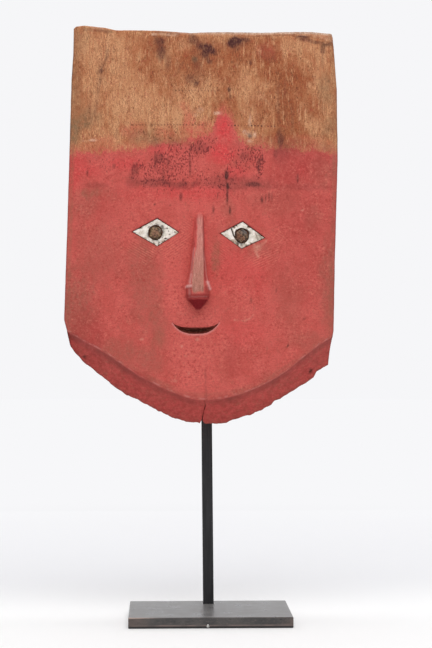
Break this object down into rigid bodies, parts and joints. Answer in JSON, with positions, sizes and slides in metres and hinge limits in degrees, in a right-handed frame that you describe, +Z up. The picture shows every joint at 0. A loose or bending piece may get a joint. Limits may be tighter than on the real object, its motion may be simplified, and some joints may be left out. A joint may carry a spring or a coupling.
{
  "type": "funerary mask on stand",
  "caption": "Flat-topped carved wooden funerary mask with a pointed chin, lozenge inlaid eyes and wedge nose, painted red, on a slim square steel rod with a flat base.",
  "frame": {"origin": "middle of the base plate's underside, which is where the object stands", "axes": "+Z up along the height, the mask faces -Y, +X is the viewer's right"},
  "size_m": [0.2564, 0.1009, 0.5556],
  "materials": {
    "painted_wood": "matte",
    "white_shell": "satin",
    "dark_resin": "matte",
    "blackened_steel": "satin",
    "bright_steel": "satin"
  },
  "bodies": {
    "root": {"mask": "painted_wood", "left_eye_shell": "white_shell", "right_eye_shell": "white_shell", "left_eye_pupil": "dark_resin", "right_eye_pupil": "dark_resin", "stand_rod": "blackened_steel", "base_plate": "blackened_steel", "upper_screw": "bright_steel", "lower_screw": "bright_steel", "base_pin": "bright_steel"}
  },
  "joints": []
}
